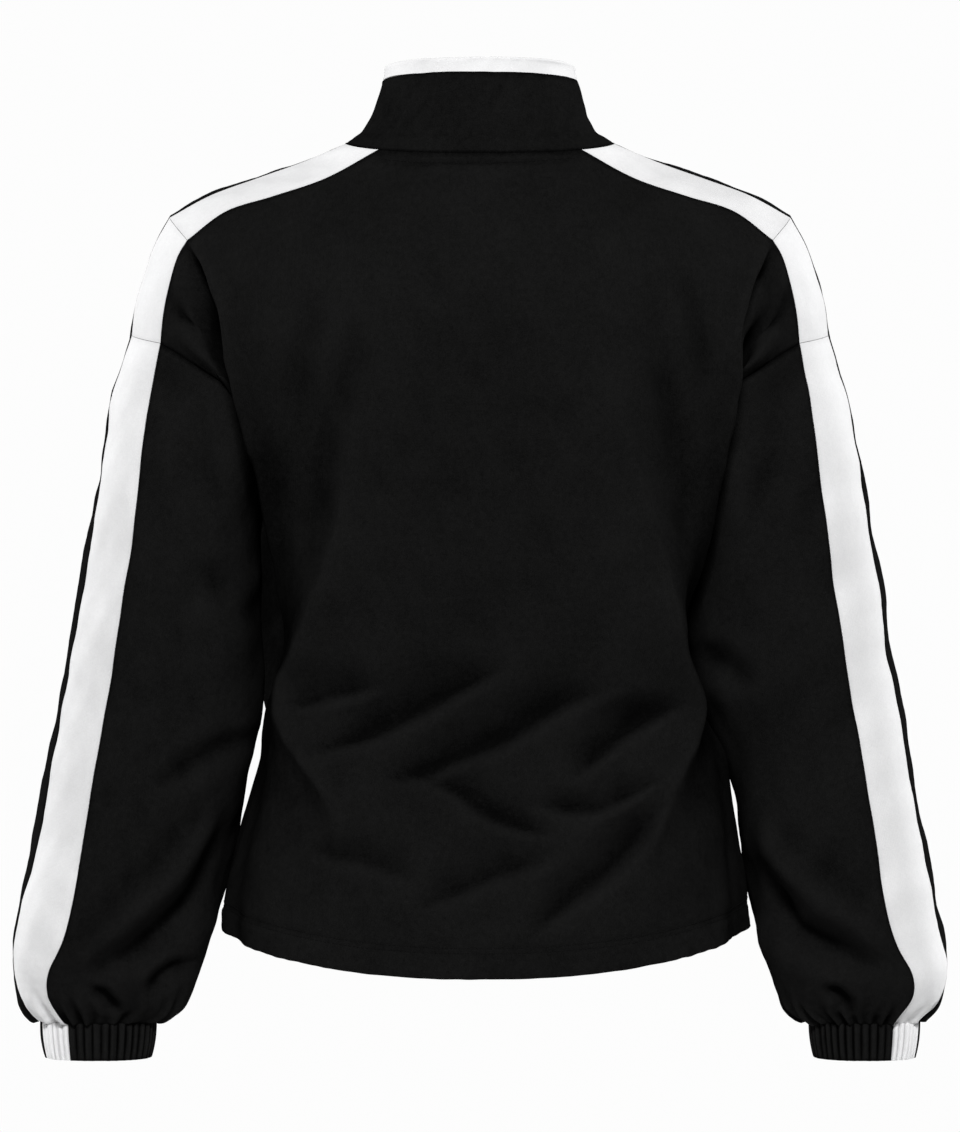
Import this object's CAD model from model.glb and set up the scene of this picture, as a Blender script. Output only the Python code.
import math
from collections import namedtuple

import bpy
import numpy as np
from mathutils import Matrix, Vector


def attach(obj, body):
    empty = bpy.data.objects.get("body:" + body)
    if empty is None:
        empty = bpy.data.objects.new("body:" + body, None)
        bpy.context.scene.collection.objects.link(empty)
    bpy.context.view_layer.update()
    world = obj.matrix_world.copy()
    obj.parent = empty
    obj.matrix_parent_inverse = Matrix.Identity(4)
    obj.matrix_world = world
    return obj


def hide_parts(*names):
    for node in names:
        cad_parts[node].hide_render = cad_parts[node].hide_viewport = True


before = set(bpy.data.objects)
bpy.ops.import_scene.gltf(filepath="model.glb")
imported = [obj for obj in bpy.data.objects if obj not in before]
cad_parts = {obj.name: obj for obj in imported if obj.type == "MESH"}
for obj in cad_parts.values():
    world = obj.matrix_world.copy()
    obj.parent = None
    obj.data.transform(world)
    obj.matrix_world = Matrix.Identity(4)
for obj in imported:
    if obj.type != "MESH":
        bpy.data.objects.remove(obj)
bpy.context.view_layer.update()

# The sweatshirt's form follows the solids' own rules, on a much finer net.  Points are in
# millimetres until a mesh is made.  Left is the wearer's left, on the viewer's left as well.
left = -1
right = 1
millimetre = 0.001

bodyCut = {
    "hemDrop": 603.0,          # neck base down to the hem at centre back
    "hemLift": 23.0,           # how much higher the hem sits at the side seams
    "hemHalfWidth": 188.0,
    "underarmDrop": 250.0,
    "neckHalfWidth": 99.5,
    "neckSquareness": 2.4,     # 2 is an ellipse
    "frontDipCurve": 1.3,      # how late the neck line drops towards the front
    "sideSeamY": 5.0,
    "sideCurve": ((0.1, 0.28), (0.45, 0.62)),   # two points from side seam to fold, as shares
    "cloth": 2.0,              # wall of a single layer
    "hemCloth": 2.8,           # wall where the hem is turned up
    "hemTurn": 24,             # height of the turned-up part
    "rim": 0.42,               # how far a free edge is rounded out, in walls
    "seamGap": 0.3,
    "seamShare": 0.55,         # of the gap, by which each of its two edges is drawn back
    "seamDip": 0.55,           # how far cloth is drawn in along a seam
    "seamDipWidth": 3.2,
}

netSteps = {
    "lowRows": 112,            # hem to underarm
    "upRows": 60,              # underarm to shoulder, and round half a sleeve
    "stripe": 12,              # across a white stripe
    "arm": (6, 7, 12),         # armhole seam, arm bulge, armpit crease, armpit fold
    "shoulder": 36,            # armpit fold to ridge
    "neck": 32,                # ridge to centre
    "sleeve": 150,             # rings of a sleeve
    "collarRow": 7,            # rows in each stretch of the collar
}

# Half sections of the body below the armhole, hem first.  side is the side seam; fold is the
# corner where the back turns to the side; ridge is the drape line that falls from the blades.
Section = namedtuple("Section", "level side foldX foldY ridgeX ridgeY")
bodySections = {
    left: (
        Section(-603, 190.5, 165, -78, 108, -109),
        Section(-575, 188.7, 163, -78, 106, -107),
        Section(-545, 183.0, 158, -76, 104, -105),
        Section(-515, 176.5, 152, -74, 102, -103),
        Section(-488, 169.5, 148, -70, 105, -101),
        Section(-462, 162.8, 150, -61, 122, -94),
        Section(-440, 159.5, 151, -50, 136, -86),
        Section(-420, 155.0, 150, -42, 143, -80),
        Section(-400, 148.0, 146, -42, 141.5, -83),
        Section(-378, 142.0, 142, -46, 130.5, -92),
        Section(-350, 138.0, 140.5, -51, 119.5, -100),
        Section(-315, 141.0, 145.5, -59, 107.5, -106),
        Section(-282, 148.0, 152, -65, 99, -109),
        Section(-250, 158.0, 157, -72, 95, -112),
    ),
    right: (
        Section(-603, 199.0, 172, -80, 122, -108),
        Section(-575, 196.8, 170, -80, 121, -106),
        Section(-545, 193.3, 167, -79, 120, -105),
        Section(-515, 189.3, 164, -77, 122, -103),
        Section(-488, 184.8, 161, -70, 131, -100),
        Section(-462, 179.5, 163, -57, 144, -93),
        Section(-440, 170.0, 162, -46, 154, -84),
        Section(-420, 160.0, 159, -42, 157.5, -80),
        Section(-400, 151.5, 154, -44, 150.5, -87),
        Section(-378, 145.0, 149, -48, 142, -95),
        Section(-350, 142.0, 149, -53, 136, -103),
        Section(-315, 146.0, 158, -59, 129, -108),
        Section(-282, 152.0, 164, -66, 121, -110),
        Section(-250, 158.0, 169, -73, 111, -112),
    ),
}

FrontSection = namedtuple("FrontSection", "level foldX foldY ridgeX ridgeY")
bodyFront = {
    left: (
        FrontSection(-603, 166, 80, 105, 105),
        FrontSection(-545, 160, 79, 103, 104),
        FrontSection(-488, 155, 78, 100, 103),
        FrontSection(-440, 159, 74, 98, 103),
        FrontSection(-400, 166, 69, 96, 105),
        FrontSection(-350, 171, 67, 95, 109),
        FrontSection(-315, 171, 68, 95, 112),
        FrontSection(-282, 168, 72, 95, 115),
        FrontSection(-250, 160, 80, 95, 117),
    ),
    right: (
        FrontSection(-603, 170, 80, 105, 105),
        FrontSection(-545, 166, 79, 103, 104),
        FrontSection(-488, 162, 78, 100, 103),
        FrontSection(-440, 160, 74, 98, 103),
        FrontSection(-405, 156, 70, 96, 105),
        FrontSection(-375, 152, 69, 95, 107),
        FrontSection(-345, 163, 67, 95, 109),
        FrontSection(-315, 168, 68, 95, 112),
        FrontSection(-282, 167, 72, 95, 115),
        FrontSection(-250, 160, 80, 95, 117),
    ),
}

CentreSection = namedtuple("CentreSection", "level back front")
bodyCentre = (
    CentreSection(-603, -120, 114),
    CentreSection(-545, -115, 113),
    CentreSection(-488, -108, 112),
    CentreSection(-440, -101, 113),
    CentreSection(-400, -98, 115),
    CentreSection(-350, -99, 118),
    CentreSection(-315, -102, 120),
    CentreSection(-250, -108, 122),
)

# The same lines from the underarm (step 0) up to the shoulder (step 1), each an (x, y, z).
# foldOut and ridgeOut move the right side's lines outwards.
Rise = namedtuple("Rise", "step seam arm crease fold ridge centre foldOut ridgeOut")
backRise = (
    Rise(0.2, (160.5, -24, -237), (162, -38, -235.5), (163.5, -53, -233), (164, -78, -227),
         (90, -115, -212), (0, -110, -212), 8, 12),
    Rise(0.4, (166, -46, -213), (168.5, -51.5, -208.5), (170, -58, -204), (170.5, -81, -195),
         (81, -117, -168), (0, -112, -170), 8, 9),
    Rise(0.6, (178, -57, -188), (185.5, -61.5, -176), (181, -54, -168.5), (180, -82, -158),
         (77, -112, -120), (0, -109, -122), 7, 3),
    Rise(0.8, (203, -54, -170), (204, -62, -148), (194.5, -50, -127.5), (193.5, -73, -110),
         (74.5, -94, -64), (0, -96, -66), 5, 0),
    Rise(0.9, (217.5, -49.5, -160), (213, -55.5, -128), (203.5, -48, -104), (200, -62, -94),
         (74, -76, -37), (0, -84, -40), 2, 0),
    Rise(1.0, (232.5, -43, -151), (226.8, -46, -113), (216, -46.5, -80), (212.5, -48, -76.6),
         (73.7, -53, -11.5), (0, -70, -16), 0, 0),
)
frontRise = (
    Rise(0.2, (160, 32, -237), (162, 45, -235.5), (163, 60, -232), (160, 84, -226),
         (95, 118, -214), (0, 122, -216), 0, 0),
    Rise(0.4, (169, 52, -213), (171.5, 58, -209), (172.5, 66, -203), (167, 86, -191),
         (96, 113, -165), (0, 118, -178), 0, 0),
    Rise(0.6, (189, 62, -188), (191, 65, -179), (190, 67, -166), (180, 80, -150),
         (98, 100, -115), (0, 112, -138), 0, 0),
    Rise(0.8, (226, 48, -163), (222, 58, -140), (212, 51, -112), (200, 57, -100),
         (106, 62, -50), (0, 102, -93), 0, 0),
    Rise(0.9, (243, 22, -153), (239, 28, -120), (229, 25, -90), (218, 30, -74),
         (110, 26, -21), (0, 95, -69), 0, 0),
    Rise(0.96, (259.3, 1, -146), (250.2, 5, -104), (239, 7, -70), (229.5, 8, -53.4),
         (101, 2, -1.6), (0, 91, -57), 0, 0),
    Rise(1.0, (257, -7, -143), (248, -6, -98), (238, -4, -70), (229.5, -3, -55.5),
         (98.9, -12, -1.9), (0, 88, -48), 0, 0),
)

# White stripe over the shoulder: its back and front edges
Station = namedtuple("Station", "back front")
upperArmStripe = (
    Station((232.5, -43, -151), (257, -7, -143)),
    Station((230.5, -45, -132), (254.3, -8, -120)),
    Station((226.8, -46, -113), (248, -6, -98)),
    Station((219.5, -46.5, -88), (241, -5, -77)),
    Station((212.5, -48, -76.6), (229.5, -3, -55.5)),
)
shoulderStripe = (
    Station((212.5, -48, -76.6), (229.5, -3, -55.5)),
    Station((185, -45, -55.5), (200, -4, -39.5)),
    Station((150, -46, -44.3), (165, -4, -26.5)),
    Station((112, -49, -31.7), (131, -5, -14.5)),
    Station((73.7, -53, -11.5), (98.9, -12, -1.9)),
)

# Sleeve rings, armhole first.  A ring is tilted: its outer end is higher than its inner end.
cuffTop = 650.6
Ring = namedtuple("Ring", "outerLeft outerRight outerZ innerLeft innerRight innerZ "
                          "middle back front stripeFrom stripeTo")
sleeveRings = (
    Ring(258, 258, -143, 158, 158, -250, 0, -60, 62, 2.0, 26),
    Ring(272, 271, -186, 161.5, 160, -275, 1, -60, 63, 2.2, 31),
    Ring(281, 281, -230, 163, 160.5, -302, 2, -59, 64, 5.5, 35),
    Ring(289, 289.5, -275, 162.5, 158, -330, 3, -57, 64, 7.0, 37.3),
    Ring(296.5, 296.7, -320, 161.5, 152.0, -362, 4, -55, 64, 7.2, 38.6),
    Ring(303, 303, -360, 160.5, 155.5, -394, 5, -53, 64, 7.2, 39.4),
    Ring(309.7, 309.7, -400, 163.5, 169.5, -430, 6, -50, 64, 7.0, 39.3),
    Ring(316.5, 316.8, -440, 171, 186, -466, 7, -48, 64, 6.8, 39.4),
    Ring(324, 323.5, -480, 178.5, 192, -502, 8, -47, 64, 6.6, 39.5),
    Ring(332, 331.5, -520, 185.5, 197, -538, 9, -46, 63, 6.4, 41),
    Ring(339.3, 337.5, -555, 193.5, 203.5, -569, 10, -46, 62, 5.8, 42.6),
    Ring(345, 344, -585, 202.5, 210.5, -595, 11, -45, 60, 4.4, 40.5),
    Ring(347, 347, -608, 209.5, 215, -614, 12, -41, 56, 1.5, 32),
    Ring(345, 345.5, -626, 215, 220, -629, 12, -34, 50, 3.0, 28.5),
    Ring(339.5, 340.5, -640, 223, 227.5, -641, 12, -24, 42, 4.5, 29),
    Ring(326, 327, -cuffTop, 241, 245, -cuffTop, 12, -13, 36, 1.5, 22),
)

CollarRing = namedtuple("CollarRing", "halfWidth back front sideZ backZ frontZ")
collarRings = (
    CollarRing(99.5, 70, 88, 0, -16, -48),
    CollarRing(90.5, 66, 83, 5.2, -8, -41),
    CollarRing(85.5, 63.5, 80, 10, -1, -34),
    CollarRing(81, 61, 78, 20, 12, -20),
    CollarRing(77, 58.5, 76.5, 31.8, 28.5, 2),
    CollarRing(72.5, 56.2, 75, 44.2, 44.5, 24),
)
bandRings = (
    CollarRing(72.5, 56.2, 75, 44.2, 44.5, 24),
    CollarRing(71.3, 55.2, 74.3, 49.5, 49.8, 30),
    CollarRing(70.6, 54.6, 73.8, 54.2, 54.6, 35),
)

# The back's two hanging edges stand out crisply: lift by level, and reach to either side.
EdgeLift = namedtuple("EdgeLift", "level ridge fold")
edgeLifts = (
    EdgeLift(-603, 0.0, 0.0),
    EdgeLift(-520, 2.0, 0.0),
    EdgeLift(-470, 5.0, 0.0),
    EdgeLift(-400, 6.0, 2.0),
    EdgeLift(-300, 5.0, 4.0),
    EdgeLift(-230, 3.0, 4.0),
    EdgeLift(-160, 0.5, 3.5),
    EdgeLift(-100, 0.0, 2.0),
    EdgeLift(-70, 0.0, 0.0),
)

# Folds: soft troughs (depth above 0) and ridges (below 0), through (x, z) points.
# lean makes the side on the left of the route steeper; lip is the roll of cloth beside it.
Fold = namedtuple("Fold", "depth width points lean lip", defaults=(0.0, 0.06))
backFolds = (
    Fold(10, 15, ((-142, -413), (-124, -410), (-105, -405), (-68, -398)), -0.6),
    Fold(15, 17, ((-124, -446), (-92, -436), (-68, -427), (-46, -417), (-23, -404), (20, -383)),
         -0.6),
    Fold(15, 17, ((-80, -465), (-46, -460), (-23, -450), (14, -436), (55, -413), (104, -396)),
         -0.6),
    Fold(11, 13, ((-54, -458), (-23, -468), (14, -492), (60, -504)), -0.6),
    Fold(14, 14, ((146, -412), (124, -420), (105, -429), (89, -441), (60, -468)), 0.6),
    Fold(11, 12, ((30, -481), (78, -485), (101, -477), (132, -461)), -0.6),
    Fold(15, 15, ((138, -466), (124, -487), (110, -507), (87, -531), (64, -548), (32, -575)),
         0.5),
    Fold(9, 15, ((-52, -555), (-23, -544), (14, -528), (62, -516)), -0.5),
    Fold(8, 14, ((-130, -511), (-104, -518), (-74, -523), (-40, -537)), -0.5),
    Fold(7, 18, ((-108, -105), (-133, -175), (-122, -235))),
    Fold(8, 17, ((-88, -118), (-98, -180), (-112, -220), (-120, -275), (-129, -340)), -0.2),
    Fold(8, 17, ((126, -118), (137, -190), (146, -230), (148, -310)), 0.2),
    Fold(6, 15, ((146, -100), (160, -150), (162, -195))),
)
cornerFolds = (
    Fold(8, 7, ((-218, -66), (-212, -80), (-202, -102), (-192, -127), (-186, -152), (-181, -180)),
         0.5, 0.3),
    Fold(-3, 9, ((-216, -78), (-214, -100), (-209, -128), (-202, -152), (-190, -172))),
    Fold(8, 7, ((218, -66), (212, -80), (203, -102), (195, -127), (189, -152), (186, -180)),
         -0.5, 0.3),
    Fold(-3, 9, ((216, -78), (214, -100), (209, -128), (202, -152), (190, -172))),
)
frontFolds = (
    Fold(9, 16, ((120, -440), (86, -432), (40, -412), (-10, -392))),
    Fold(9, 17, ((66, -478), (20, -462), (-36, -430), (-96, -404))),
    Fold(7, 15, ((-130, -452), (-104, -478), (-70, -500), (-30, -512))),
    Fold(6, 15, ((104, -520), (66, -536), (20, -540), (-24, -530))),
    Fold(7, 20, ((122, -150), (128, -200), (122, -270))),
    Fold(7, 20, ((-124, -146), (-132, -205), (-120, -280))),
    Fold(6, 18, ((-60, -90), (-20, -108), (30, -112), (70, -96))),
)

# On a sleeve x is taken outwards: depth, width and route of each fold, by side and face.
sleeveFolds = {
    (left, "back"): (
        (5, 14, ((224, -166), (210, -200), (198, -245), (180, -300))),
        (-3, 13, ((232, -205), (226, -250), (214, -296))),
        (5, 15, ((214, -305), (196, -320), (176, -340), (156, -366))),
        (7, 12, ((156, -436), (191, -447), (213, -458), (240, -474))),
        (-10, 15, ((190, -482), (199, -506), (211, -525), (222, -540), (242, -556), (260, -573),
                   (292, -598), (308, -603))),
        (16, 16, ((178, -490), (191, -520), (199, -543), (206, -555), (226, -573), (243, -588),
                  (256, -596), (292, -611))),
        (8, 8, ((206, -602), (230, -612), (246, -632))),
        (8, 7, ((284, -618), (270, -634), (262, -645))),
    ),
    (right, "back"): (
        (5, 14, ((226, -170), (214, -205), (204, -250), (190, -300))),
        (-3, 13, ((236, -210), (230, -255), (220, -300))),
        (8, 15, ((152, -372), (178, -386), (204, -400))),
        (-10, 15, ((202, -494), (215, -522), (234, -543), (248, -556), (262, -565), (282, -581),
                   (302, -600))),
        (16, 15, ((200, -524), (213, -554), (224, -578), (236, -584), (256, -591), (276, -600),
                  (298, -609))),
        (8, 7, ((249, -618), (266, -631), (273, -645))),
    ),
    (left, "front"): (
        (8, 15, ((168, -342), (200, -352), (236, -346))),
        (10, 16, ((190, -500), (220, -540), (262, -580), (300, -604))),
        (7, 12, ((184, -440), (214, -456), (250, -462))),
    ),
    (right, "front"): (
        (8, 15, ((170, -362), (204, -370), (240, -362))),
        (10, 16, ((204, -510), (232, -548), (270, -584), (302, -606))),
        (7, 12, ((196, -456), (226, -470), (258, -474))),
    ),
}


def smooth(at, knots, values):
    # values on a smooth curve through the knots
    at = np.asarray(at, float)
    knots = np.asarray(knots, float)
    values = np.asarray(values, float)
    if values.ndim == 1:
        return smooth(at, knots, values[:, None])[:, 0]
    step = np.diff(knots)
    chord = np.diff(values, axis=0) / step[:, None]
    slope = np.empty_like(values)
    slope[1:-1] = (chord[:-1] * step[1:, None] + chord[1:] * step[:-1, None]) / (
        step[:-1, None] + step[1:, None])
    slope[0] = chord[0]
    slope[-1] = chord[-1]
    cell = np.clip(np.searchsorted(knots, at, side="right") - 1, 0, len(knots) - 2)
    width = step[cell][:, None]
    share = (at[:, None] - knots[cell][:, None]) / width
    start = values[cell]
    end = values[cell + 1]
    rest = 1 - share
    return (start * rest ** 2 * (1 + 2 * share) + end * share ** 2 * (3 - 2 * share)
            + slope[cell] * width * share * rest ** 2 - slope[cell + 1] * width * share ** 2 * rest)


def through(points, steps):
    # a smooth curve through the points, with so many steps in each stretch
    points = np.asarray(points, float)
    spans = np.sqrt(np.linalg.norm(np.diff(points, axis=0), axis=1)) + 1e-6
    knots = np.concatenate(([0.0], np.cumsum(spans)))
    at = [knots[0]]
    for start, end, count in zip(knots[:-1], knots[1:], steps):
        at.extend(start + (end - start) * (i + 1) / count for i in range(count))
    return smooth(at, knots, points)


def ease(share):
    share = np.clip(share, 0, 1)
    return share * share * (3 - 2 * share)


def unit(vector):
    return vector / max(np.linalg.norm(vector), 1e-9)


def units(vectors):
    return vectors / np.maximum(np.linalg.norm(vectors, axis=-1, keepdims=True), 1e-9)


def closeNet(net, ring):
    # a ring's first column again at its end, so that its last faces close it
    return np.concatenate((net, net[:, :1]), axis=1) if ring else net


def faceCross(net):
    # the cross product of each face's diagonals, twice its area long
    return np.cross(net[1:, 1:] - net[:-1, :-1], net[1:, :-1] - net[:-1, 1:])


def linkPiece(name, data):
    piece = bpy.data.objects.new(name, data)
    bpy.context.scene.collection.objects.link(piece)
    return piece


def pathLength(points):
    steps = np.linalg.norm(np.diff(points, axis=0), axis=1)
    return np.concatenate(([0], np.cumsum(steps)))


def resample(points, count):
    fine = through(points, [40] * (len(points) - 1))
    length = pathLength(fine)
    at = np.linspace(0, length[-1], count + 1)
    return np.column_stack([np.interp(at, length, fine[:, axis]) for axis in range(3)])


def drift(points, size, seed):
    # soft unevenness between about -1 and 1, with hollows of the given size
    random = np.random.default_rng(seed)
    total = np.zeros(points.shape[:-1])
    for _ in range(7):
        way = random.normal(size=3)
        way *= 2 * math.pi / (size * random.uniform(0.75, 1.5) * np.linalg.norm(way))
        total += np.sin(points @ way + random.uniform(0, 2 * math.pi))
    return total / 2.6


def unevenness(points, waves, shift=0):
    # layers of drift, each with its height, size and seed
    return sum(height * drift(points, size, seed + shift) for height, size, seed in waves)


def risePlaces():
    low = np.linspace(0, 1, netSteps["lowRows"] + 1)
    high = 1 + np.linspace(0, 1, netSteps["upRows"] + 1)[1:]
    return np.concatenate((low, high))


def levelShare(level):
    return (level + bodyCut["hemDrop"]) / (bodyCut["hemDrop"] - bodyCut["underarmDrop"])


def sidePanel(side, foldX, foldY):
    seamY = bodyCut["sideSeamY"]
    return [(side + (foldX - side) * across, seamY + (foldY - seamY) * deep)
            for across, deep in bodyCut["sideCurve"]]


def keyLines(side, face):
    # the lines seam, arm, crease, fold, ridge and centre of one quarter of the body
    sections = bodySections[side]
    levels = [section.level for section in sections]
    centreY = smooth(levels, [row.level for row in bodyCentre],
                     [getattr(row, face) for row in bodyCentre])
    if face == "back":
        shape = np.array([section[2:] for section in sections], float)
    else:
        front = bodyFront[side]
        shape = smooth(levels, [row.level for row in front], [row[1:] for row in front])
    places = [levelShare(level) for level in levels]
    rows = []
    for section, (foldX, foldY, ridgeX, ridgeY), middle in zip(sections, shape, centreY):
        near, far = sidePanel(section.side, foldX, foldY)
        level = section.level
        rows.append(((section.side, bodyCut["sideSeamY"], level), (*near, level), (*far, level),
                     (foldX, foldY, level), (ridgeX, ridgeY, level), (0, middle, level)))
    for rise in backRise if face == "back" else frontRise:
        foldOut = rise.foldOut if side == right else 0
        ridgeOut = rise.ridgeOut if side == right else 0
        moves = (0, 0, foldOut, foldOut, ridgeOut, 0)
        places.append(1 + rise.step)
        rows.append([(point[0] + move, point[1], point[2])
                     for point, move in zip(rise[1:7], moves)])
    table = np.array(rows, float)
    table[..., 0] *= side
    at = risePlaces()
    turn = len(levels)
    split = netSteps["lowRows"]
    lines = smooth(at, places, table.reshape(len(rows), -1)).reshape(-1, 6, 3)
    lines[:split + 1, 0] = smooth(at[:split + 1], places[:turn], table[:turn, 0])
    lines[split:, 0] = smooth(at[split:], places[turn - 1:], table[turn - 1:, 0])
    return lines


def dropHem(net):
    share = np.clip(risePlaces(), 0, 1)[:, None]
    lift = bodyCut["hemLift"] * (np.abs(net[..., 0]) / bodyCut["hemHalfWidth"]) ** 2.2
    net[..., 2] += lift * (1 - share) ** 1.5


def stripeEdge(side, edge):
    flipped = np.array((side, 1, 1))
    arm = [np.array(getattr(station, edge)) * flipped for station in upperArmStripe]
    shoulder = [np.array(getattr(station, edge)) * flipped for station in shoulderStripe]
    lower = resample(arm, sum(netSteps["arm"]))
    upper = resample(shoulder, netSteps["shoulder"])
    return np.vstack((lower, upper[1:]))


def neckCurve(angle, ring):
    # points on a collar ring; angle 0 is at the wearer's right, a quarter turn is the front
    across = np.cos(angle)
    along = np.sin(angle)
    power = 2 / bodyCut["neckSquareness"]
    atFront = along > 0
    x = ring.halfWidth * np.sign(across) * np.abs(across) ** power
    y = np.where(atFront, ring.front, -ring.back) * np.abs(along) ** power
    dip = np.where(atFront, np.abs(along) ** bodyCut["frontDipCurve"], np.abs(along))
    z = ring.sideZ + (np.where(atFront, ring.frontZ, ring.backZ) - ring.sideZ) * dip
    return np.column_stack((x, y, z))


def neckAngle(point):
    across = (abs(point[0]) / bodyCut["neckHalfWidth"]) ** (bodyCut["neckSquareness"] / 2)
    return np.arccos(min(across, 1.0))


def neckAngles():
    # collar columns: back from left to right, right stripe, front to the left, left stripe
    cornerBack = neckAngle(shoulderStripe[-1].back)
    cornerFront = neckAngle(shoulderStripe[-1].front)
    wide = 2 * netSteps["neck"] + 1
    narrow = netSteps["stripe"] + 1
    back = np.linspace(-np.pi + cornerBack, -cornerBack, wide)
    rightPart = np.linspace(-cornerBack, -cornerFront, narrow)
    front = np.linspace(-cornerFront, np.pi + cornerFront, wide)
    leftPart = np.linspace(np.pi + cornerFront, np.pi + cornerBack, narrow)
    return back, rightPart, front, leftPart


foldShape = {
    "legs": 7,                   # straight legs in each stretch of a route
    "reach": 3.4,                # in widths, past which a fold is nothing
    "taper": 0.4,                # share of the length over which each end dies out
    "endShare": 0.1,
    "narrow": 0.6,               # width at the ends, as a share
    "lipPlace": 1.55,            # the roll of cloth beside the trough, in widths
    "lipWidth": 0.62,
}


def foldDepth(net, folds):
    # how far each point lies below the plain surface, for folds seen along the Y axis
    flat = net[..., (0, 2)].reshape(-1, 2)
    total = np.zeros(len(flat))
    for fold in folds:
        route = through(fold.points, [foldShape["legs"]] * (len(fold.points) - 1))
        length = pathLength(route)
        reach = foldShape["reach"] * fold.width
        near = np.all((flat > route.min(0) - reach) & (flat < route.max(0) + reach), axis=1)
        spots = flat[near]
        nearest = np.full(len(spots), 1e9)
        place = np.zeros(len(spots))
        turn = np.zeros(len(spots))
        for start, end, begin in zip(route[:-1], route[1:], length[:-1]):
            leg = end - start
            share = np.clip((spots - start) @ leg / (leg @ leg), 0, 1)
            off = spots - start - share[:, None] * leg
            away = np.linalg.norm(off, axis=1)
            closer = away < nearest
            nearest[closer] = away[closer]
            place[closer] = (begin + share * np.linalg.norm(leg))[closer] / length[-1]
            turn[closer] = np.sign(leg[0] * off[:, 1] - leg[1] * off[:, 0])[closer]
        taper = (ease(place / foldShape["taper"] + foldShape["endShare"])
                 * ease((1 - place) / foldShape["taper"] + foldShape["endShare"]))
        width = fold.width * (foldShape["narrow"] + (1 - foldShape["narrow"]) * taper)
        away = nearest / (width * (1 - fold.lean * turn))
        lip = np.exp(-((away - foldShape["lipPlace"]) / foldShape["lipWidth"]) ** 2)
        total[near] += fold.depth * taper * (np.exp(-away ** 2 * 1.6) - fold.lip * lip)
    return total.reshape(net.shape[:-1])


def outward(net, ring):
    # unit normals of a net of points: the mean of the faces that meet at each point
    wide = closeNet(net, ring)
    face = units(faceCross(wide))
    total = np.zeros_like(wide)
    for rows in (slice(None, -1), slice(1, None)):
        for columns in (slice(None, -1), slice(1, None)):
            total[rows, columns] += face
    if ring:
        total[:, 0] += total[:, -1]
        total = total[:, :-1]
    return units(total)


def edgeShare(net, reach, sides, bottom=False):
    # 0 on a net's top and side edges, and its bottom edge where asked, 1 from reach inwards
    rows, columns = net.shape[:2]
    down = np.linalg.norm(np.diff(net, axis=0), axis=-1)
    fromBottom = np.vstack((np.zeros((1, columns)), np.cumsum(down, axis=0)))
    share = ease((fromBottom[-1] - fromBottom) / reach)
    if bottom:
        share = share * ease(fromBottom / reach)
    if sides:
        over = np.linalg.norm(np.diff(net, axis=1), axis=-1)
        fromStart = np.hstack((np.zeros((rows, 1)), np.cumsum(over, axis=1)))
        share = share * ease(fromStart / reach) * ease((fromStart[:, -1:] - fromStart) / reach)
    return share


stitch = {
    "spacing": 0.0031,           # along the hem, in metres
    "length": 0.0025,
    "radius": 0.00032,
    "stand": 0.15,               # how far the thread stands out of the cloth, in millimetres
    "neckHeight": 8.6,           # row of topstitching below the collar, in millimetres
    "searchRows": 40,            # rows of the net near an edge in which a row's line lies
}

bodyRelief = {
    "foldScale": 0.85,
    "waves": ((1.5, 70.0, 3), (0.45, 24.0, 11), (0.09, 7.0, 5)),   # height, size and seed
    "foldFade": 42,              # how far from the edges folds, corners and waves die out
    "cornerFade": 7,
    "liftFade": 9,
    "waveFade": 14,
    "hemFade": 4,
    "topBlend": (1.6, 0.4),      # level from which a panel bends to meet its top, and reach
    "stitchHeights": (17.2, 20.8),   # the two rows above the hem's edge
    "stitchDip": 0.9,
    "stitchWidth": 1.2,
    "hemDraw": 0.35,             # how far the turned hem stands out, and its pucker
    "hemPucker": 0.22,
    "puckers": (7.0, 21),        # size and seed
    "neckDip": 2.3,              # along the topstitching below the collar
    "neckDipWidth": 2.2,
    "edgeReach": 9.0,            # of the ridges and armpit folds that stand out
    "edgeRound": 0.3,            # 1 is a soft edge, near 0 a sharp one
    "fresh": 0.3,                # how much blacker the cloth beside the arms is
    "freshTop": -170,            # between these levels
    "freshBottom": -530,
    "freshBlend": 90,
    "freshNeck": 0.16,           # the same along the neck's topstitching
    "freshNeckWidth": 3,
}


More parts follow.
